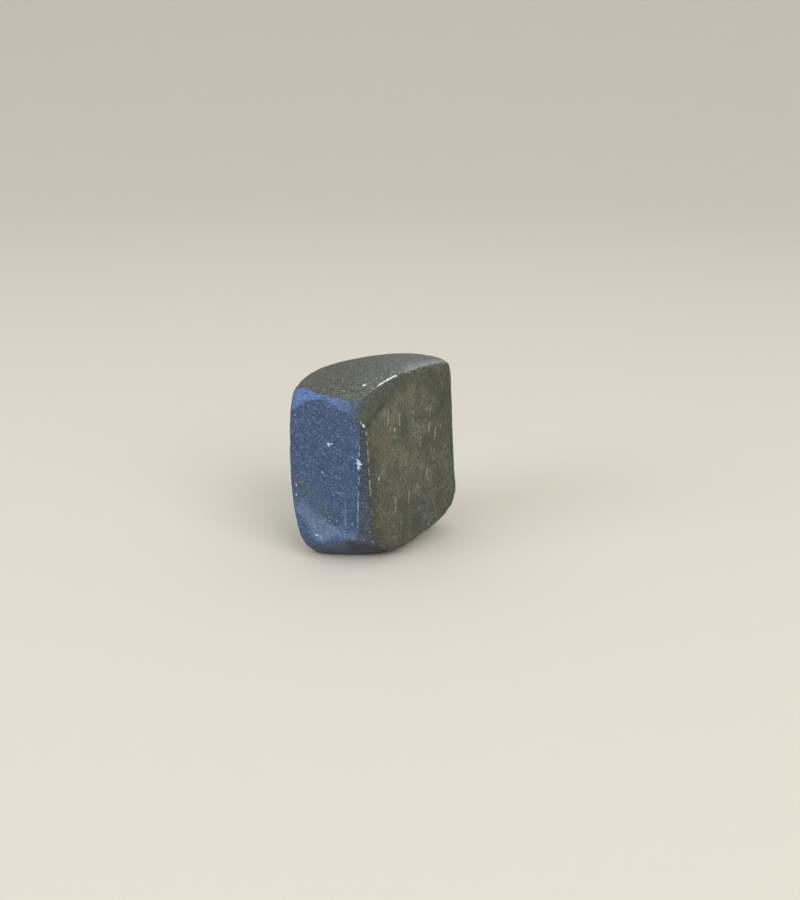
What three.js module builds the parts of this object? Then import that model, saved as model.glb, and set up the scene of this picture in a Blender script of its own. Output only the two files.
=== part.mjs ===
// An upright, angular river pebble. Its front and its side are flat worn faces that meet in a
// narrow strip, with a bevelled brow and shoulder under a gently domed crown. The left, the back
// and the underside are broadly rounded by water, and it stands on a small flat of its own.
//
// Millimetres, +Z up. The origin is the middle of the stone's box, at the level it stands on.
// The front looks along -Y, and the side is on the +X side.

import * as THREE from 'three';
import { mergeVertices } from 'three/addons/utils/BufferGeometryUtils.js';

// Driving dimensions, in millimetres and degrees.

const HEART_HEIGHT = 37; // the point inside, above the origin, that every face is measured from

// A flat face is a plane. Its bearing turns from the front (-Y) towards the right (+X), its rise
// is above level, and its distance is from the heart, along the way that it looks.
const FRONT_FACES = {
  front: { bearing: 0, rise: 4, distance: 21.5 },
  brow: { bearing: 13, rise: 30, distance: 28 },
  browEnd: { bearing: -12, rise: 41.5, distance: 33.5 },
};
const CRISP_FACES = {
  side: { bearing: 66, rise: 3.75, distance: 15.25 },
  strip: { bearing: 37, rise: 3, distance: 20.25 },
  shoulder: { bearing: 48.5, rise: 25, distance: 23.6 },
};
const WORN_FACES = {
  left: { bearing: -90.5, rise: -5, distance: 27.2 },
  back: { bearing: -172, rise: 0, distance: 26 },
  hip: { bearing: 130, rise: 2, distance: 34 },
  rim: { bearing: -134, rise: 57, distance: 36.5 },
  toe: { bearing: -57, rise: -51.5, distance: 44.5 },
};
const BROKEN_FACES = {
  foot: { bearing: 20, rise: -42.5, distance: 34.25 },
  heel: { bearing: 95, rise: -70, distance: 37.3 },
  hock: { bearing: 103, rise: -43.75, distance: 39.4 },
  corner: { bearing: 107.5, rise: 36.5, distance: 43.3 },
};

// The crown is a shallow dome, worn lower at its front corner.
const CROWN = { bearing: -44.5, rise: 80.75, distance: 34.25, radius: 96.5 };
const CROWN_CORNER = { bearing: 24, rise: 47, distance: 30.9 };

// The flank is the round of the back right: an upright egg, as wide as its girth and stretched
// tall, because its height counts for less than its width by the squash.
const FLANK = { x: 8.25, y: 0.25, z: 29, radius: 39.35, squash: 0.45 };

// Softness of the edges. A square edge is rounded to a radius of 1.414 times its softness.
const CRISP_SOFTNESS = 0.2;
const BROW_SOFTNESS = 0.5;
const CROWN_SOFTNESS = 2.5;
const WORN_SOFTNESS = 3.5;
const BROKEN_SOFTNESS = 1.5;
const JOIN_SOFTNESS = 1.2; // where a crisp face meets a worn one
const BASE_SOFTNESS = 0.6;

// The faceting: a grid on a box round the heart, carried out along rays to the surface.
const GRID_SIZE = new THREE.Vector3(44, 44, 72);
const CELL_SIZE = 2.75;
const REACH = 80; // further than any point of the surface is from the heart
const HALVINGS = 40;

const heart = new THREE.Vector3(0, 0, HEART_HEIGHT);

// The way a face looks, as a unit vector.
function facing({ bearing, rise }) {
  const turn = THREE.MathUtils.degToRad(bearing);
  const lift = THREE.MathUtils.degToRad(rise);
  const level = Math.cos(lift);
  return new THREE.Vector3(Math.sin(turn) * level, -Math.cos(turn) * level, Math.sin(lift));
}

// How far a point lies outside a plane.
function outsidePlane(point, face) {
  return point.clone().sub(heart).dot(facing(face)) - face.distance;
}

// How far a point lies outside a sphere that touches the face's plane.
function outsideDome(point, face) {
  const centre = heart.clone().addScaledVector(facing(face), face.distance - face.radius);
  return point.distanceTo(centre) - face.radius;
}

// How far a point lies outside the stretched round of the flank, measured level.
function outsideFlank(point) {
  const offset = point.clone().sub(new THREE.Vector3(FLANK.x, FLANK.y, FLANK.z));
  offset.z *= FLANK.squash;
  return offset.length() - FLANK.radius;
}

// The largest of some values, rounded off where two of them are close.
function smoothLargest(values, softness) {
  const largest = Math.max(...values);
  const sum = values.reduce((total, value) => total + Math.exp((value - largest) / softness), 0);
  return largest + softness * Math.log(sum);
}

// How far a point lies outside the stone, negative inside: the smooth largest of all its faces,
// joined group by group, each with its own softness.
function outsideStone(point) {
  const planes = (faces) => Object.values(faces).map((face) => outsidePlane(point, face));
  const crown = smoothLargest(
    [outsideDome(point, CROWN), outsidePlane(point, CROWN_CORNER)],
    CROWN_SOFTNESS,
  );
  const front = smoothLargest(planes(FRONT_FACES), BROW_SOFTNESS);
  const crisp = smoothLargest([crown, front, ...planes(CRISP_FACES)], CRISP_SOFTNESS);
  const worn = smoothLargest([outsideFlank(point), ...planes(WORN_FACES)], WORN_SOFTNESS);
  const rough = smoothLargest([worn, ...planes(BROKEN_FACES)], BROKEN_SOFTNESS);
  const body = smoothLargest([crisp, rough], JOIN_SOFTNESS);
  const belowBase = -point.z;
  return smoothLargest([body, belowBase], BASE_SOFTNESS);
}

// The point where a ray from the heart leaves the stone, found by halving.
function surfacePoint(direction) {
  let inside = 0;
  let outside = REACH;
  for (let step = 0; step < HALVINGS; step += 1) {
    const middle = (inside + outside) / 2;
    const point = heart.clone().addScaledVector(direction, middle);
    if (outsideStone(point) < 0) {
      inside = middle;
    } else {
      outside = middle;
    }
  }
  return heart.clone().addScaledVector(direction, inside);
}

// The whole surface: every vertex of a gridded box is carried out along its ray to the stone's
// skin, and the result is moved so that the origin is the middle of its base.
function stoneGeometry() {
  const cells = GRID_SIZE.clone().divideScalar(CELL_SIZE).round();
  const grid = new THREE.BoxGeometry(...GRID_SIZE, ...cells);
  grid.deleteAttribute('normal');
  grid.deleteAttribute('uv');
  const geometry = mergeVertices(grid);
  const positions = geometry.getAttribute('position');
  const vertex = new THREE.Vector3();
  for (let index = 0; index < positions.count; index += 1) {
    vertex.fromBufferAttribute(positions, index).normalize();
    positions.setXYZ(index, ...surfacePoint(vertex));
  }
  geometry.computeBoundingBox();
  const { min, max } = geometry.boundingBox;
  geometry.translate(-(min.x + max.x) / 2, -(min.y + max.y) / 2, -min.z);
  geometry.computeVertexNormals();
  return geometry;
}

// Fine-grained olive-grey rock, dry and matt.
function stoneMaterial() {
  return new THREE.MeshStandardMaterial({ color: 0x5c5d50, roughness: 0.75, metalness: 0 });
}

const pebble = new THREE.Mesh(stoneGeometry(), stoneMaterial());
pebble.name = 'pebble';

const part = new THREE.Group();
part.add(pebble);

export default part;
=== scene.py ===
"""An upright, angular river pebble: one worn stone with a blue-skinned front.

The stone's skin is worked out in millimetres, in the same way and from the same faces as the solid
that it stands for, and its fine wear is added along the surface's own normals.
"""
import math

import bpy
import numpy as np
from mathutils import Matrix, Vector


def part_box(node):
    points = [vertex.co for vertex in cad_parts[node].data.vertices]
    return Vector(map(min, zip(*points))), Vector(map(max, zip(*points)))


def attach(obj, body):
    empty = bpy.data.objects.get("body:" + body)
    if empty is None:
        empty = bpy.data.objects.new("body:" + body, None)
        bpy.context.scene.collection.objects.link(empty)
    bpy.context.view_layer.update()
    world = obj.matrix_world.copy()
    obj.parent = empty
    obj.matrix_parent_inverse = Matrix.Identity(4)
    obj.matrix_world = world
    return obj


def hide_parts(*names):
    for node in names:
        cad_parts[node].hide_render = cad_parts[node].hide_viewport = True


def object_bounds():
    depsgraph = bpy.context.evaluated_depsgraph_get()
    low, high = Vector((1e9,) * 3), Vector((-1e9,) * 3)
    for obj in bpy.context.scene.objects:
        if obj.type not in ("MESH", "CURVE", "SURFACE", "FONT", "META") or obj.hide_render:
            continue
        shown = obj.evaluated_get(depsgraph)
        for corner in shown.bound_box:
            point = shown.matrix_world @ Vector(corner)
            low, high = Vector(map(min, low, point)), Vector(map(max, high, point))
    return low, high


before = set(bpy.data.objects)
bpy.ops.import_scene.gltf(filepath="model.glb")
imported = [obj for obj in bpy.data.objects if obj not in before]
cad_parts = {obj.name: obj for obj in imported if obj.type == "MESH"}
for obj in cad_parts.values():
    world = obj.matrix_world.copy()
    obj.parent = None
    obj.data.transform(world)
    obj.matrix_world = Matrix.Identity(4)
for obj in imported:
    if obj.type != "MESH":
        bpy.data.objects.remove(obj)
cad_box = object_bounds()

MM = 0.001  # metres in a millimetre

# ---------------------------------------------------------------- the stone's driving dimensions

HEART = np.array([0.0, 0.0, 37.0])  # the point inside that every face is measured from, in mm

# A flat face: bearing from the front (-Y) towards the right (+X), rise above level, both in
# degrees, and distance from the heart in mm, along the way that it looks.
FRONT_FACES = {
    "front": (0, 4, 21.5),
    "brow": (13, 30, 28),
    "brow_end": (-12, 41.5, 33.5),
}
CRISP_FACES = {
    "side": (66, 3.75, 15.25),
    "strip": (37, 3, 20.25),
    "shoulder": (48.5, 25, 23.6),
}
WORN_FACES = {
    "left": (-90.5, -5, 27.2),
    "back": (-172, 0, 26),
    "hip": (130, 2, 34),
    "rim": (-134, 57, 36.5),
    "toe": (-57, -51.5, 44.5),
}
BROKEN_FACES = {
    "foot": (20, -42.5, 34.25),
    "heel": (95, -70, 37.3),
    "hock": (103, -43.75, 39.4),
    "corner": (107.5, 36.5, 43.3),
}
CROWN = (-44.5, 80.75, 34.25)
CROWN_RADIUS = 96.5
CROWN_CORNER = (24, 47, 30.9)
FLANK_CENTRE = np.array([8.25, 0.25, 29.0])
FLANK_RADIUS = 39.35
FLANK_SQUASH = 0.45

# Softness of the edges, in mm: a square edge is rounded to a radius of 1.414 times its softness.
CRISP_SOFTNESS = 0.2
BROW_SOFTNESS = 0.5
CROWN_SOFTNESS = 2.5
WORN_SOFTNESS = 3.5
BROKEN_SOFTNESS = 1.5
JOIN_SOFTNESS = 1.2
BASE_SOFTNESS = 0.6

GRID_CELLS = (112, 112, 160)  # cells along X, Y and Z of the box that the skin is gridded on
GRID_SHAPE = np.array([44.0, 44.0, 72.0])
REACH = 80.0  # further than any point of the skin is from the heart, in mm
HALVINGS = 34


# ---------------------------------------------------------------- the stone's form

def facing(bearing, rise):
    """Unit vector (sin b cos r, -cos b cos r, sin r) of a bearing b and a rise r in degrees."""
    turn, lift = math.radians(bearing), math.radians(rise)
    return np.array([
        math.sin(turn) * math.cos(lift),
        -math.cos(turn) * math.cos(lift),
        math.sin(lift),
    ])


def outside_plane(points, face):
    """Distance of each point beyond a plane: (point - heart) . facing - distance."""
    bearing, rise, distance = face
    return (points - HEART) @ facing(bearing, rise) - distance


def outside_dome(points, face, radius):
    """Distance of each point beyond a sphere of this radius that touches the face's plane."""
    bearing, rise, distance = face
    centre = HEART + facing(bearing, rise) * (distance - radius)
    return np.linalg.norm(points - centre, axis=1) - radius


def outside_flank(points):
    """Distance of each point beyond an upright egg: a sphere whose heights count less."""
    offset = (points - FLANK_CENTRE) * np.array([1.0, 1.0, FLANK_SQUASH])
    return np.linalg.norm(offset, axis=1) - FLANK_RADIUS


def smooth_largest(values, softness):
    """softness * log(sum(exp(value / softness))) over the first axis."""
    top = values.max(axis=0)
    return top + softness * np.log(np.exp((values - top) / softness).sum(axis=0))


def face_distances(points):
    """How far each point lies beyond each face, by name, in mm."""
    beyond = {
        name: outside_plane(points, face)
        for name, face in (FRONT_FACES | CRISP_FACES | WORN_FACES | BROKEN_FACES).items()
    }
    domed = [outside_dome(points, CROWN, CROWN_RADIUS), outside_plane(points, CROWN_CORNER)]
    beyond["crown"] = smooth_largest(np.stack(domed), CROWN_SOFTNESS)
    beyond["flank"] = outside_flank(points)
    beyond["base"] = -points[:, 2]
    return beyond


def mark_distances(points):
    """The distances beyond each face, and fore, the largest of those beyond front and brow."""
    beyond = face_distances(points)
    beyond["fore"] = np.max([beyond[name] for name in FRONT_FACES], axis=0)
    return beyond


def outside_stone(points):
    """The smooth largest distance beyond all the stone's faces, negative inside.

    The faces are joined group by group, each with its own softness: the front with its brow, then
    the crisp faces and the crown with them; the worn faces, then the broken ones with them; then
    both of those, and last the base, which is the plane at height 0.
    """
    beyond = face_distances(points)

    def join(softness, *names):
        return smooth_largest(np.stack([beyond[name] for name in names]), softness)

    beyond["fore"] = join(BROW_SOFTNESS, *FRONT_FACES)
    beyond["crisp"] = join(CRISP_SOFTNESS, "crown", "fore", *CRISP_FACES)
    beyond["worn"] = join(WORN_SOFTNESS, "flank", *WORN_FACES)
    beyond["rough"] = join(BROKEN_SOFTNESS, "worn", *BROKEN_FACES)
    beyond["body"] = join(JOIN_SOFTNESS, "crisp", "rough")
    return join(BASE_SOFTNESS, "body", "base")


def gridded_box(cells):
    """Corners and quads of a box from -1 to 1, gridded into cells, with its edges welded.

    Each of the six sides is a function of two whole-number parameters, with the third held at
    0 or at its last line. Corners with the same three numbers are one corner, and the numbers
    turn into places by tan(45 degrees * t), which evens out the cells after they are carried out.
    """
    lattice, faces, count = [], [], 0
    for axis in range(3):
        first, second = (axis + 1) % 3, (axis + 2) % 3
        rows, columns = np.meshgrid(
            np.arange(cells[first] + 1), np.arange(cells[second] + 1), indexing="ij"
        )
        number = np.arange(rows.size).reshape(rows.shape)
        quads = np.stack(
            [number[:-1, :-1], number[1:, :-1], number[1:, 1:], number[:-1, 1:]], axis=-1
        ).reshape(-1, 4)
        for end, turned in ((0, quads[:, ::-1]), (cells[axis], quads)):
            side = np.zeros((rows.size, 3), dtype=np.int64)
            side[:, axis] = end
            side[:, first] = rows.ravel()
            side[:, second] = columns.ravel()
            lattice.append(side)
            faces.append(turned + count)
            count += rows.size
    corners, welded = np.unique(np.concatenate(lattice), axis=0, return_inverse=True)
    places = np.tan((corners / np.array(cells) * 2 - 1) * math.pi / 4)
    return places, welded.reshape(-1)[np.concatenate(faces)]


def skin_points(directions):
    """Where each ray from the heart leaves the stone, found by halving the ray."""
    inside = np.zeros(len(directions))
    outside = np.full(len(directions), REACH)
    for _ in range(HALVINGS):
        middle = (inside + outside) / 2
        distance = outside_stone(HEART + directions * middle[:, None])
        inside = np.where(distance < 0, middle, inside)
        outside = np.where(distance < 0, outside, middle)
    return HEART + directions * inside[:, None]


def skin_normals(points, step=0.05):
    """Unit slope of the distance beyond the stone, from differences a small step apart."""
    slope = np.stack([
        outside_stone(points + offset) - outside_stone(points - offset)
        for offset in np.eye(3) * step
    ], axis=1)
    return slope / np.linalg.norm(slope, axis=1, keepdims=True)


# ---------------------------------------------------------------- chance and shaping

def chance(cells, seed):
    """A repeatable number from -1 to 1 for each row of three whole numbers, by integer mixing."""
    x, y, z = (cells.astype(np.uint32)).T
    mixed = x * np.uint32(374761393) + y * np.uint32(668265263) + z * np.uint32(2246822519)
    mixed = mixed + np.uint32(seed * 97531 % 2**32)
    for shift, factor in ((15, 2246822519), (13, 3266489917)):
        mixed = (mixed ^ (mixed >> np.uint32(shift))) * np.uint32(factor)
    mixed = mixed ^ (mixed >> np.uint32(16))
    return mixed.astype(np.float64) / 2**31 - 1


def noise(points, size, seed, octaves=1):
    """Eased chance at the corners of cubes `size` mm wide, from about -1 to 1.

    Each further octave halves the cubes and counts for half as much.
    """
    total, weight = np.zeros(len(points)), 1.0
    for octave in range(octaves):
        place = points * 2**octave / size
        corner = np.floor(place).astype(np.int64)
        part = place - corner
        ease = part**3 * (part * (part * 6 - 15) + 10)
        for offset in np.ndindex(2, 2, 2):
            share = np.where(np.array(offset) == 1, ease, 1 - ease).prod(axis=1)
            total += weight * share * chance(corner + np.array(offset), seed + octave)
        weight /= 2
    return total


def ramp(values, low, high):
    """0 up to low, 1 from high, and t * t * (3 - 2 t) between them. It falls if high < low."""
    t = np.clip((values - low) / (high - low), 0, 1)
    return t * t * (3 - 2 * t)


# ---------------------------------------------------------------- marks on the faces

# Pale chips: face, start, end and half width. Places are (along, height) in mm.
CHIPS = [
    ("front", (-7.3, 47.1), (-6.8, 46.9), 0.38),
    ("front", (-7.1, 46.8), (-6.8, 46.2), 0.22),
    ("front", (-6.4, 47.1), (-5.4, 47.2), 0.18),
    ("front", (-9.5, 36.0), (-9.1, 35.9), 0.22),
    ("front", (4.3, 43.0), (4.9, 41.6), 0.26),
    ("front", (4.7, 41.8), (5.6, 41.2), 0.42),
    ("front", (5.4, 42.6), (5.0, 41.6), 0.16),
    ("front", (4.9, 41.2), (4.8, 39.6), 0.24),
    ("front", (4.9, 40.6), (5.5, 39.9), 0.18),
    ("front", (3.4, 41.6), (4.4, 41.3), 0.12),
    ("front", (-20.0, 53.8), (-20.0, 53.2), 0.22),
    ("front", (-20.6, 56.2), (-20.5, 55.6), 0.2),
    ("front", (-20.2, 29.4), (-20.2, 29.0), 0.25),
    ("front", (-20.2, 25.6), (-20.2, 25.2), 0.3),
    ("front", (-18.9, 27.0), (-18.9, 27.0), 0.2),
    ("front", (-12.2, 11.0), (-9.8, 10.7), 0.25),
    ("strip", (-6.8, 55.6), (-6.5, 55.0), 0.35),
    ("strip", (-7.6, 56.6), (-7.4, 56.2), 0.18),
    ("side", (-1.2, 50.8), (-1.4, 50.2), 0.22),
    ("side", (-9.7, 34.8), (-10.1, 33.6), 0.22),
]
# Specks on the crown and along its edge: x, y and radius, in mm.
CROWN_SPECKS = [
    (2.5, -11.5, 0.24),
    (3.0, -11.1, 0.36),
    (3.4, -10.7, 0.24),
    (-8.4, 1.8, 0.25),
    (-0.7, -4.4, 0.2),
    (9.5, -6.0, 0.36),
    (8.9, -6.9, 0.24),
    (10.4, -4.9, 0.2),
    (11.4, -3.5, 0.28),
    (11.9, -2.9, 0.18),
    (14.7, 1.6, 0.2),
    (19.8, 15.2, 0.25),
]
# Fine scratches: face, start and end.
SCRATCHES = [
    ("front", (-0.1, 27.1), (0.0, 16.9)),
    ("front", (-1.0, 28.6), (-0.1, 27.5)),
    ("front", (-4.6, 29.4), (-1.4, 28.9)),
    ("front", (1.6, 43.9), (4.1, 42.8)),
    ("front", (-13.6, 16.4), (-11.0, 13.2)),
    ("side", (1.6, 56.0), (1.4, 51.0)),
    ("side", (8.1, 52.2), (8.0, 49.2)),
    ("side", (15.0, 54.8), (16.1, 52.0)),
    ("side", (17.2, 54.4), (16.2, 51.6)),
    ("side", (16.1, 49.6), (15.9, 45.6)),
    ("side", (19.4, 46.0), (18.2, 41.0)),
    ("side", (-3.6, 58.4), (-4.4, 53.0)),
    ("side", (11.4, 44.6), (10.8, 41.0)),
    ("side", (4.6, 25.4), (3.8, 20.4)),
    ("side", (-2.2, 24.0), (-3.0, 18.6)),
    ("side", (14.2, 31.4), (13.6, 28.8)),
]
FACE_OVERLAP = 1.5  # how far past its own edge a mark or a colour may run, in mm
SCRATCH_REACH = 1.2  # how near a scratch a point has to be for that scratch to count, in mm
NOWHERE = 9.0  # a distance that puts a line out of sight, in mm
BROKEN_ROUND_OFF = 1.2  # how deep under its faces the broad edge of the foot lies, in mm
OUTSIDE = -1.0  # the depth given to a point that is in no chip, in mm

# The pale line along the edge between crown and shoulder, worn and with a painted highlight,
# by y in mm: where it starts and ends, and the stretch over which it thins towards its start.
CROWN_LINE_START = (-12.6, -13.8)
CROWN_LINE_THIN = (-8, -11.5)
CROWN_LINE_END = (-3.0, -1.5)
CROWN_LINE_THINNED = 0.13  # how much of its width it loses there, in mm

# The blue skin's limits, in mm: how high above the base its level top is where x is 0, how much
# that drops for each mm to the right, how far behind the front it runs, and how far that wavers.
BLUE_TOP = 63.45
BLUE_TOP_DROP = 0.09
BLUE_WRAP = 10
BLUE_WRAP_WAVER = 3


def on_face(points, bearing):
    """(along, height) of each point: mm to the right of the heart, seen from outside, and up."""
    turn = math.radians(bearing)
    return points[:, 0] * math.cos(turn) + points[:, 1] * math.sin(turn), points[:, 2]


def from_line(points, bearing, start, end):
    """(beside, past) for each point, in mm, seen square on to the bearing.

    Beside is the signed distance from the whole line, to its left, and past is how far the point
    lies beyond the nearer end, or 0 between them.
    """
    along, height = on_face(points, bearing)
    line = np.subtract(end, start).astype(float)
    length = np.hypot(*line)
    line = line / length if length > 0 else np.array([1.0, 0.0])
    reach = (along - start[0]) * line[0] + (height - start[1]) * line[1]
    beside = (height - start[1]) * line[0] - (along - start[0]) * line[1]
    return beside, np.maximum(np.maximum(-reach, reach - length), 0)


def chip_depths(points, beyond):
    """How far inside the nearest chip each point lies, in mm, negative outside it.

    A chip is a line with round ends: its half width less the point's distance from the line.
    """
    depth = np.full(len(points), OUTSIDE)
    for face, start, end, half_width in CHIPS:
        beside, past = from_line(points, (FRONT_FACES | CRISP_FACES)[face][0], start, end)
        inside = half_width - np.hypot(beside, past)
        depth = np.maximum(depth, np.where(beyond[face] > -FACE_OVERLAP, inside, OUTSIDE))
    for x, y, radius in CROWN_SPECKS:
        inside = radius - np.hypot(points[:, 0] - x, points[:, 1] - y)
        depth = np.maximum(depth, np.where(beyond["crown"] > -FACE_OVERLAP, inside, OUTSIDE))
    return depth


def scratch_lines(points, beyond):
    """(gap, off) from a scratch that is near: distance to one side of it, and past its ends."""
    gap, off = np.full(len(points), NOWHERE), np.full(len(points), NOWHERE)
    for face, start, end in SCRATCHES:
        beside, past = from_line(points, (FRONT_FACES | CRISP_FACES)[face][0], start, end)
        near = (np.hypot(beside, past) < SCRATCH_REACH) & (beyond[face] > -FACE_OVERLAP)
        gap, off = np.where(near, beside, gap), np.where(near, past, off)
    return gap, off


def worn_edges(points, beyond):
    """(gap, off) by name for each edge that is marked, in mm: by wear, by wear with a painted
    highlight along the crown's edge with the shoulder, or by the dark line along the crease
    between shoulder and side.

    The gap is one face's distance beyond the point less the other's. It changes sign evenly
    across the edge, so a line drawn where it is small stays thin and unbroken. Off is how far
    the point lies beneath both faces, less what rounds the edge off, and it rises where chance
    has left the edge unworn.
    """
    def edge(name, others, unworn=0.0, round_off=0.0):
        other = np.max([beyond[each] for each in others], axis=0)
        beneath = np.maximum(0, -np.maximum(beyond[name], other) - round_off)
        return beyond[name] - other, beneath + unworn

    def breaks(size, seed, share):
        """0 along the worn share of an edge, rising to 1 in the rest."""
        return ramp(noise(points, size, seed, 2), 1.4 * share - 0.7, 1.4 * share - 0.2)

    y, z = points[:, 1], points[:, 2]
    line_ends = (
        ramp(y, *CROWN_LINE_START)
        + CROWN_LINE_THINNED * ramp(y, *CROWN_LINE_THIN)
        + ramp(y, *CROWN_LINE_END)
    )
    before_end = ramp(y, *reversed(CROWN_LINE_END))
    crease_ends = ramp(z, 60, 66) + ramp(z, 12, 5)
    under_front = ramp(beyond["fore"] - beyond["strip"], -0.6, 0)
    return {
        # Edge wear with a painted highlight along the crown's edge with the shoulder.
        "crown_line": edge("crown", ["shoulder"], line_ends),
        "crown_specks": edge(
            "crown", ["shoulder", "side"], breaks(1.6, 21, 0.5) + before_end,
        ),
        "strip_front": edge("strip", ["fore"], breaks(1.8, 22, 0.62)),
        "strip_side": edge("strip", ["side"], breaks(1.0, 23, 0.55)),
        "foot_specks": edge(
            "foot", ["strip", "side"], breaks(0.9, 24, 0.35) + under_front, BROKEN_ROUND_OFF,
        ),
        "crease": edge("shoulder", ["side"], crease_ends),
        "scratch": scratch_lines(points, beyond),
    }


# ---------------------------------------------------------------- the stone's mesh

def stone_masks(points, beyond):
    """What the finishes follow, for each point.

    A face's reach is its distance beyond the point less that of the nearest other face, and no
    more than its distance and the overlap. Reaches, the chips' depths, and the gap and off of the
    worn edges are in mm, and change evenly across an edge, so that it stays sharp between points.
    The rest run from 0 to 1.
    """
    x, y, z = points.T

    def reach(name, others):
        other = np.max([beyond[each] for each in others], axis=0)
        return np.minimum(beyond[name] - other, beyond[name] + FACE_OVERLAP)

    def on(face):
        """1 where a face is the skin, falling to 0 where it lies past the overlap from it."""
        return ramp(beyond[face], -FACE_OVERLAP, 0)

    def cloud(face, start, end, width, seed):
        """1 along a line on a face, falling to 0 a cloudy width away from it."""
        bearing = (FRONT_FACES | CRISP_FACES | BROKEN_FACES)[face][0]
        away = np.hypot(*from_line(points, bearing, start, end))
        away = away + 0.4 * width * noise(points, width * 0.8, seed, 3)
        return ramp(away, width, 0) * ramp(beyond[face], -1.8, -0.8)

    # Along the crown's right edge, and along the side, to the right.
    across = x * 0.92 + y * 0.39
    along_side, _ = on_face(points, CRISP_FACES["side"][0])
    above_line = ramp(beyond["crown"] - np.maximum(beyond["shoulder"], beyond["side"]), 7, 1)
    # Painted shade on the side: darker towards its left and right edges and towards the bottom.
    rim = np.max([
        ramp(along_side, -9, -14),
        ramp(along_side, 12, 22),
        0.7 * ramp(z, 30, 10),
    ], axis=0)
    # The blue skin ends at the edges of its faces, at a level line, and a way round the left.
    blue = np.min([
        reach("fore", ["crown", *CRISP_FACES]),
        BLUE_TOP - BLUE_TOP_DROP * x - z,
        BLUE_WRAP - BLUE_WRAP_WAVER * noise(points, 6, 11, 3) + beyond["front"],
    ], axis=0)
    on_blue = ramp(blue, -0.3, 0.3)
    # The brow's painted light, which makes it paler than the front, dips a little lower at the far
    # left.
    brow = np.maximum(beyond["brow"], beyond["brow_end"]) - beyond["front"]
    brow += 1.6 * ramp(x, -16, -22)
    on_brow = ramp(brow, -0.5, 0.5) * on_blue
    strip = reach("strip", ["fore", "side", "shoulder", "foot"])
    flat = np.max([beyond[name] for name in ("crown", "fore", *CRISP_FACES)], axis=0)
    masks = {
        "blue": blue,
        "on_blue": on_blue,
        "brow": np.minimum(blue, brow),
        # Painted light on the brow, brighter in the middle and at the left.
        "brow_mid": ramp(x, 2, -5) * on_brow,
        "brow_left": ramp(x, -6, -13) * on_brow,
        "crown": reach("crown", ["fore", *CRISP_FACES]),
        "on_crown": on("crown"),
        # Painted sheen: the crown is painted lighter and bluer towards its right end, palest in a
        # patch near its right edge.
        "crown_right": ramp(across, -14, 22) * on("crown"),
        "crown_pale": above_line * ramp(across, 6, 16) * on("crown"),
        "strip": strip,
        "on_strip": ramp(strip, -0.1, 0.3),
        "low": ramp(z, 45, 10),
        "shoulder": reach("shoulder", ["crown", "fore", "side", "strip"]),
        "fade": ramp(beyond["shoulder"] - beyond["fore"], -3.0, 0.2) * on_blue,
        "foot": reach("foot", ["fore", "side", "strip"]),
        "round": ramp(flat, 0, -2),
        "side": on("side"),
        # Painted shade on the side, towards its edges and bottom.
        "side_rim": on("side") * rim,
        "chip": chip_depths(points, beyond),
        "dust": cloud("front", (-18, 22), (-9, 13.5), 6, 71)
        + 0.8 * cloud("front", (-8, 13), (4, 12), 6.5, 76),
        "moss": cloud("front", (-16, 28), (-11, 21), 10, 77),
        "rust": cloud("front", (-19.4, 31.2), (-18.0, 30.6), 1.1, 72),
        "brown": cloud("side", (-6.4, 47.7), (-2.4, 35.2), 6, 73)
        + cloud("side", (-8, 14), (-5, 8), 6, 78),
        # Painted shade in clouds on the side's upper right and lower right.
        "shade": cloud("side", (16, 65), (19, 62), 6, 74)
        + cloud("side", (12, 28), (15, 20), 8, 79),
        "bluish": cloud("side", (12, 15), (15, 13), 5, 80),
        "peat": cloud("foot", (-3, 7.5), (8, 4), 6.5, 82),
        # Painted shade: darker towards the base, where the stone meets the floor.
        "damp": ramp(z + 1.5 * noise(points, 4, 75, 2), 7, 1),
    }
    for name, (gap, off) in worn_edges(points, beyond).items():
        masks[name + "_gap"], masks[name + "_off"] = gap, off
    return masks


def stone_relief(points, beyond, masks):
    """Height of the wear above the smooth skin, in mm.

    It is the sum of broad swells and small pits, both deeper on the rounded parts, a fine tooth
    all over, nicks where chance has broken an edge between two faces, and the chips. All fade to
    nothing at the base, so that the stone keeps its flat.
    """
    edged = np.sort([beyond[name] for name in ("crown", "fore", "foot", *CRISP_FACES)], axis=0)
    near_edge = ramp(edged[-2] - edged[-1], -0.5, 0)
    round_part = masks["round"]
    swell = (0.08 + 0.30 * round_part) * noise(points, 13, 83, 2)
    pits = -(0.09 + 0.21 * round_part) * ramp(noise(points, 2.6, 84, 2), 0.25, 0.9)
    tooth = 0.03 * noise(points, 1.3, 85)
    nicks = -0.14 * near_edge * ramp(noise(points, 1.6, 87, 2), 0.1, 0.8)
    chips = -0.15 * ramp(masks["chip"], -0.1, 0.3)
    return (swell + pits + tooth + nicks + chips) * ramp(points[:, 2], 0.2, 3.0)


def to_frame(points, smooth_points):
    """Moves the points, in mm, so that the smooth skin's box is centred on the CAD node's box."""
    low, high = (np.array(corner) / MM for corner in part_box("pebble"))
    own_low, own_high = smooth_points.min(axis=0), smooth_points.max(axis=0)
    move = (low + high - own_low - own_high) / 2
    move[2] = low[2] - own_low[2]
    return (points + move) * MM


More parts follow.
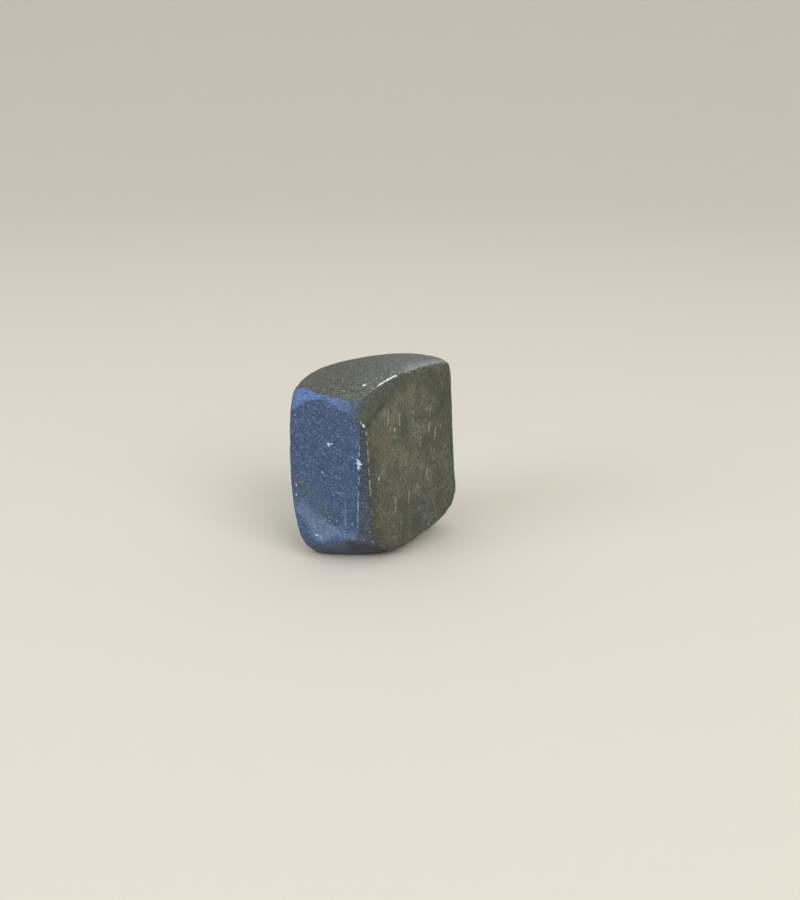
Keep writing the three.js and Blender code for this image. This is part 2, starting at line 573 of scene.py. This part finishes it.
def make_stone():
    """The whole skin as one closed mesh, with its finishes' masks as point attributes."""
    places, quads = gridded_box(GRID_CELLS)
    directions = places * GRID_SHAPE
    directions /= np.linalg.norm(directions, axis=1, keepdims=True)
    smooth = skin_points(directions)
    beyond = mark_distances(smooth)
    masks = stone_masks(smooth, beyond)
    relief = stone_relief(smooth, beyond, masks)
    worn = smooth + skin_normals(smooth) * relief[:, None]
    worn[:, 2] = np.maximum(worn[:, 2], smooth[:, 2].min())

    mesh = bpy.data.meshes.new("pebble_skin")
    mesh.from_pydata(to_frame(worn, smooth).tolist(), [], quads.tolist())
    mesh.polygons.foreach_set("use_smooth", np.ones(len(quads), dtype=bool))
    for name, values in masks.items():
        attribute = mesh.attributes.new(name, "FLOAT", "POINT")
        attribute.data.foreach_set("value", values.astype(np.float32))
    mesh.update()
    stone = bpy.data.objects.new("pebble_skin", mesh)
    bpy.context.scene.collection.objects.link(stone)
    return stone, list(masks)


# ---------------------------------------------------------------- materials

def linear(colour):
    """An sRGB hex value such as "5f6053" as linear RGBA."""
    channels = [int(colour[place:place + 2], 16) / 255 for place in (0, 2, 4)]
    return [c / 12.92 if c <= 0.04045 else ((c + 0.055) / 1.055) ** 2.4 for c in channels] + [1.0]


def add(tree, kind, inputs=None, **settings):
    """Adds a node, sets its properties, and fills its inputs with values or other outputs."""
    made = tree.nodes.new(kind)
    for name, value in settings.items():
        setattr(made, name, value)
    for name, value in (inputs or {}).items():
        if isinstance(value, bpy.types.NodeSocket):
            tree.links.new(value, made.inputs[name])
        else:
            made.inputs[name].default_value = value
    return made


# Patterns in the rock: size of a cloud along X, Y and Z in mm, lean in degrees, and detail.
# Real strokes of rubbing and hatching are finer still. These are as fine as still shows.
PATTERNS = {
    "fine": ((0.22, 0.22, 0.22), 0, 2),  # unevenness within the grains
    "mottle": ((1.6, 1.6, 1.6), 0, 2),  # knots of like grains
    "cloud": ((7, 7, 9), 0, 3),  # finer and coarser stone
    "rub": ((0.42, 0.42, 2.6), 10, 1),  # strokes of rubbing, upright and leaning
    "rub_back": ((0.42, 0.42, 2.0), -14, 1),
    "scuff": ((2.6, 2.6, 1.6), 25, 4),  # ragged knocks
    "hatch": ((1.8, 1.8, 0.4), 0, 2),  # level strokes across the strip
}
GRAIN_SIZE = 0.36  # sand grains, in mm
FLECK_SPACING = 1.4  # pale feldspar crystals, in mm
KNOCK_SPACING = 5.0  # where other stones have struck, in mm

# The finish, laid on in order. Each layer has its colour, its strength, the sums of sources
# at which it starts and is full, and the sources with their weights.
FINISH = [
    # Bare rock: olive, clouded and faintly mottled, with brown stains, a bluish patch, and painted
    # shade on the side.
    ("57594b", 1.0, 0.38, 0.62, {"cloud": 1}),
    ("3d4036", 0.25, 0.50, 0.38, {"mottle": 1}),
    ("605849", 0.5, 0.1, 1.0, {"brown": 1}),
    ("3b3d37", 0.35, 0.1, 1.0, {"shade": 1}),
    ("4e5a5c", 0.45, 0.2, 1.0, {"bluish": 1}),
    ("383a2f", 0.75, 0.0, 1.0, {"side_rim": 1}),
    # Strokes of rubbing, dark and pale, on the side only.
    ("3a3c32", 0.45, 0.50, 0.74, {"rub": -1, "side": 1}),
    ("7f8171", 0.55, 1.75, 2.02, {"rub": 1, "cloud": 0.4, "side": 1}),
    ("7f8171", 0.45, 1.77, 2.02, {"rub_back": 1, "cloud": 0.4, "side": 1}),
    # Knocks against other stones, and rubbing every way, on the rounded parts.
    ("30332c", 0.35, 1.50, 1.72, {"scuff": 1, "round": 1}),
    ("727567", 0.45, 1.56, 1.80, {"rub_back": 1, "round": 1}),
    # The crown is greyer, with a painted sheen that makes it paler and bluer away from the front.
    ("4c4f4a", 0.9, 0.0, 0.3, {"crown": 1, "grains": 0.3}),
    ("65696a", 0.8, 0.1, 1.0, {"crown_right": 1}),
    ("848d8e", 0.6, 0.85, 1.5, {"crown_pale": 1, "mottle": 1}),
    ("373d37", 0.8, -0.1, 0.3, {"shoulder": 1, "grains": 0.2}),
    ("22241f", 0.65, 0.7, 0.1, {"crease": 1}),
    # The blue skin: deep on the front, painted paler on the brow where light from above falls on
    # it, thin lower down.
    ("32476d", 1.0, 0.0, 0.3, {"blue": 1, "grains": 0.3}),
    ("2b3b58", 0.55, -0.50, -0.64, {"mottle": 0.5, "cloud": 0.5, "on_blue": -1}),
    # Painted light on the brow, which faces up: paler blue, brighter in the middle and at the
    # left.
    ("41587a", 0.9, 0.0, 0.45, {"brow": 1, "grains": 0.3}),
    ("4a6594", 0.9, 0.1, 1.0, {"brow_mid": 1}),
    ("4c6aa1", 0.9, 0.1, 1.0, {"brow_left": 1}),
    ("32454c", 0.75, 0.45, 1.45, {"fade": 1, "mottle": 1}),
    ("6d83a6", 0.6, 0.6, 1.6, {"dust": 1, "mottle": 1}),
    ("3b5560", 0.5, 0.1, 1.0, {"moss": 1}),
    ("7a4c42", 0.5, 0.6, 1.5, {"rust": 1, "mottle": 0.8}),
    # The strip and the foot are darker, with level strokes that are closer low down.
    ("2a3446", 0.9, -0.1, 0.3, {"strip": 1, "grains": 0.2}),
    ("687583", 0.5, 1.48, 1.80, {"on_strip": 1, "hatch": 1, "low": 0.1}),
    ("3c4966", 0.85, -0.3, 0.8, {"foot": 1, "grains": 0.5}),
    ("2a2620", 0.9, 0.5, 1.2, {"peat": 1, "mottle": 1}),
    # Painted shade towards the base.
    ("282724", 0.4, 0.0, 1.0, {"damp": 1}),
]
# What is laid over the grain: fresh pale stone on edges, flecks, chips and scratches, and a
# painted highlight on the worn line along the crown's edge.
FRESH = [
    ("a8aca8", 0.35, -0.04, -0.09, {"flecks": 1, "mottle": -0.3}),
    ("b4c6e2", 0.60, -1.01, -1.07, {"flecks": 1, "mottle": -0.3, "on_blue": -1}),
    ("8e9288", 0.65, -1.12, -1.20, {"knocks": 1, "scuff": -0.5, "round": -1, "fine": 0.2}),
    ("a3a8a8", 0.4, 1.76, 1.9, {"grains": 1, "on_crown": 1}),
    ("8fa4c2", 0.55, 1.76, 1.94, {"grains": 1, "on_blue": 1}),
    ("eef2f2", 1.0, 0.42, 0.26, {"crown_line": 1, "mottle": 0.25}),
    ("a9b3b6", 0.8, 0.55, 0.20, {"crown_specks": 1, "mottle": 0.3}),
    ("8fa8cc", 0.9, 0.44, 0.22, {"strip_front": 1, "mottle": 0.3}),
    ("9ea4a3", 0.75, 0.44, 0.22, {"strip_side": 1, "mottle": 0.3}),
    ("a8aca6", 0.8, 0.50, 0.22, {"foot_specks": 1, "mottle": 0.3}),
    ("a4a799", 0.6, -0.24, -0.60, {"scratch": 1, "mottle": 0.7, "side": -1}),
    ("93a9cc", 0.7, -0.58, -0.80, {"scratch": 1, "mottle": 0.4, "on_blue": -1}),
    ("c6d8f4", 0.9, 0.10, 0.30, {"chip": 1, "grains": 0.3, "fine": 0.1}),
    ("e2dfd0", 0.9, 1.10, 1.30, {"chip": 1, "grains": 0.3, "fine": 0.1, "on_crown": 1}),
    ("b2b4a4", 0.9, 1.10, 1.30, {"chip": 1, "grains": 0.3, "fine": 0.1, "side": 1}),
]


def water_worn_greywacke(mask_names):
    """Dark fine-grained sandstone, tumbled by water and left dry, with a weathered blue skin.

    Tumbling leaves it matt with a faint sheen, speckled by sand grains, and pale where an edge
    or a chip shows fresh stone. Painted shade darkens it towards the base, a painted sheen
    lightens the crown's right, and painted light makes the brow paler.
    """
    material = bpy.data.materials.new("water_worn_greywacke")
    material.use_nodes = True
    tree = material.node_tree
    tree.nodes.clear()
    source = {
        name: add(tree, "ShaderNodeAttribute", attribute_name=name).outputs["Fac"]
        for name in mask_names
    }
    # An edge or a scratch is a line where its gap, either way, and its off are both small.
    for name in [name[:-4] for name in mask_names if name.endswith("_off")]:
        gap = add(tree, "ShaderNodeMath", {0: source[name + "_gap"]}, operation="ABSOLUTE")
        line = add(tree, "ShaderNodeMath", {0: gap.outputs[0], 1: source[name + "_off"]})
        source[name] = line.outputs[0]

    place = add(tree, "ShaderNodeTexCoord").outputs["Object"]
    for name, (sizes, lean, detail) in PATTERNS.items():
        drawn = add(tree, "ShaderNodeMapping", {
            "Vector": place,
            "Rotation": (math.radians(lean), 0, 0),
            "Scale": [1 / (size * MM) for size in sizes],
        })
        clouds = add(tree, "ShaderNodeTexNoise",
                     {"Vector": drawn.outputs[0], "Scale": 1, "Detail": detail})
        source[name] = clouds.outputs[0]
    grains = add(tree, "ShaderNodeTexVoronoi", {"Vector": place, "Scale": 1 / (GRAIN_SIZE * MM)})
    source["grains"] = grains.outputs["Color"]
    crystals = add(tree, "ShaderNodeTexVoronoi",
                   {"Vector": place, "Scale": 1 / (FLECK_SPACING * MM)})
    source["flecks"] = crystals.outputs["Distance"]
    struck = add(tree, "ShaderNodeTexVoronoi",
                 {"Vector": place, "Scale": 1 / (KNOCK_SPACING * MM)})
    source["knocks"] = struck.outputs["Distance"]

    def lay(under, layers):
        """Lays each colour over what is under it, by the sum of its weighted sources."""
        for colour, strength, start, full, weights in layers:
            total = 0.0
            for name, weight in weights.items():
                total = add(tree, "ShaderNodeMath", {0: source[name], 1: weight, 2: total},
                            operation="MULTIPLY_ADD").outputs[0]
            amount = add(tree, "ShaderNodeMapRange", {
                "Value": total, "From Min": start, "From Max": full, "To Max": strength,
            })
            under = add(tree, "ShaderNodeMix",
                        {0: amount.outputs[0], 6: under, 7: linear(colour)},
                        data_type="RGBA").outputs[2]
        return under

    rock = lay(linear("43453b"), FINISH)
    # Each sand grain has its own shade: most are a little darker than the rest, some much paler.
    uneven = add(tree, "ShaderNodeMath",
                 {0: source["fine"], 1: 0.9, 2: source["grains"]}, operation="MULTIPLY_ADD")
    shade = add(tree, "ShaderNodeMapRange", {
        "Value": uneven.outputs[0],
        "From Min": 0.6,
        "From Max": 1.45,
        "To Min": 0.62,
        "To Max": 2.0,
    })
    rock = add(tree, "ShaderNodeMix", {0: 1.0, 6: rock, 7: shade.outputs[0]},
               data_type="RGBA", blend_type="MULTIPLY").outputs[2]
    rock = lay(rock, FRESH)

    rough = add(tree, "ShaderNodeMapRange", {
        "Value": source["grains"], "To Min": 0.55, "To Max": 0.75,
    })
    bump = add(tree, "ShaderNodeBump", {
        "Height": source["grains"], "Strength": 0.5, "Distance": 0.05 * MM,
    })
    shader = add(tree, "ShaderNodeBsdfPrincipled", {
        "Base Color": rock,
        "Roughness": rough.outputs[0],
        "IOR": 1.5,
        "Normal": bump.outputs[0],
    })
    add(tree, "ShaderNodeOutputMaterial", {"Surface": shader.outputs[0]})
    return material


def pale_paper():
    """Seamless studio paper: matt, even and nearly white."""
    material = bpy.data.materials.new("pale_paper")
    material.use_nodes = True
    shader = material.node_tree.nodes["Principled BSDF"]
    shader.inputs["Base Color"].default_value = linear("dedad2")
    shader.inputs["Roughness"].default_value = 0.9
    return material


# ---------------------------------------------------------------- the studio

def make_sweep(level):
    """Paper that is flat round the stone and sweeps up all round: a profile turned about Z."""
    flat, bend, top = 0.9, 1.6, 2.2  # radius of the flat, radius of the bend, and height, in m
    turns = np.linspace(0, 2 * math.pi, 96, endpoint=False)
    lift = np.linspace(0, math.pi / 2, 24)
    radius = np.concatenate([np.linspace(0.02, flat, 8), flat + bend * np.sin(lift[1:]),
                             [flat + bend]])
    height = np.concatenate([np.zeros(8), bend * (1 - np.cos(lift[1:])), [top]]) + level
    ring = np.stack([np.cos(turns), np.sin(turns)], axis=1)
    points = np.concatenate([
        np.concatenate([ring * r, np.full((len(turns), 1), h)], axis=1)
        for r, h in zip(radius, height)
    ])
    number = np.arange(len(points)).reshape(len(radius), len(turns))
    after = np.roll(number, -1, axis=1)
    quads = np.stack([number[:-1], number[1:], after[1:], after[:-1]], axis=-1).reshape(-1, 4)
    hub = [number[0].tolist()]
    mesh = bpy.data.meshes.new("paper_sweep")
    mesh.from_pydata(points.tolist(), [], quads.tolist() + hub)
    mesh.polygons.foreach_set("use_smooth", np.ones(len(mesh.polygons), dtype=bool))
    mesh.materials.append(pale_paper())
    sweep = bpy.data.objects.new("paper_sweep", mesh)
    bpy.context.scene.collection.objects.link(sweep)


SOFTBOX_SPREAD = 120  # the full angle that a softbox's grid lets through, in degrees


def make_softbox(name, place, aim, size, power, colour):
    """A square area light at a place, turned to its aim, and gridded to keep off the paper."""
    light = bpy.data.lights.new(name, "AREA")
    light.shape = "SQUARE"
    light.size = size
    light.energy = power
    light.spread = math.radians(SOFTBOX_SPREAD)
    light.color = linear(colour)[:3]
    lamp = bpy.data.objects.new(name, light)
    lamp.location = place
    lamp.rotation_euler = (aim - place).to_track_quat("-Z", "Y").to_euler()
    bpy.context.scene.collection.objects.link(lamp)


def make_camera(middle):
    """A camera 370 mm off, 23 degrees round from the front and 22 degrees up."""
    azimuth, elevation, distance = math.radians(23), math.radians(22), 0.37
    aim = middle + Vector((11.5, -1.0, 3.5)) * MM
    back = Vector((
        math.sin(azimuth) * math.cos(elevation),
        -math.cos(azimuth) * math.cos(elevation),
        math.sin(elevation),
    ))
    lens = bpy.data.cameras.new("camera")
    lens.lens = 40
    lens.sensor_width = 36
    lens.clip_start = 0.01
    camera = bpy.data.objects.new("camera", lens)
    camera.location = aim + back * distance
    camera.rotation_euler = back.to_track_quat("Z", "Y").to_euler()
    bpy.context.scene.collection.objects.link(camera)
    bpy.context.scene.camera = camera


def make_studio():
    """Pale paper, an even pale room, and soft light from above and from the left."""
    low, high = cad_box
    middle = (low + high) / 2
    make_sweep(low.z)
    make_softbox("window", middle + Vector((1.0, -0.6, 0.9)), middle, 1.0, 4.6, "fffaf2")
    make_softbox("fill", middle + Vector((-0.9, -1.1, 0.7)), middle, 0.9, 3.9, "f4f8ff")
    world = bpy.data.worlds.new("room")
    world.use_nodes = True
    background = world.node_tree.nodes["Background"]
    background.inputs["Color"].default_value = linear("f4f5f2")
    background.inputs["Strength"].default_value = 0.88
    bpy.context.scene.world = world
    bpy.context.scene.view_settings.view_transform = "Standard"
    make_camera(middle)


stone, mask_names = make_stone()
stone.data.materials.append(water_worn_greywacke(mask_names))
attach(stone, "root")
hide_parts("pebble")

make_studio()
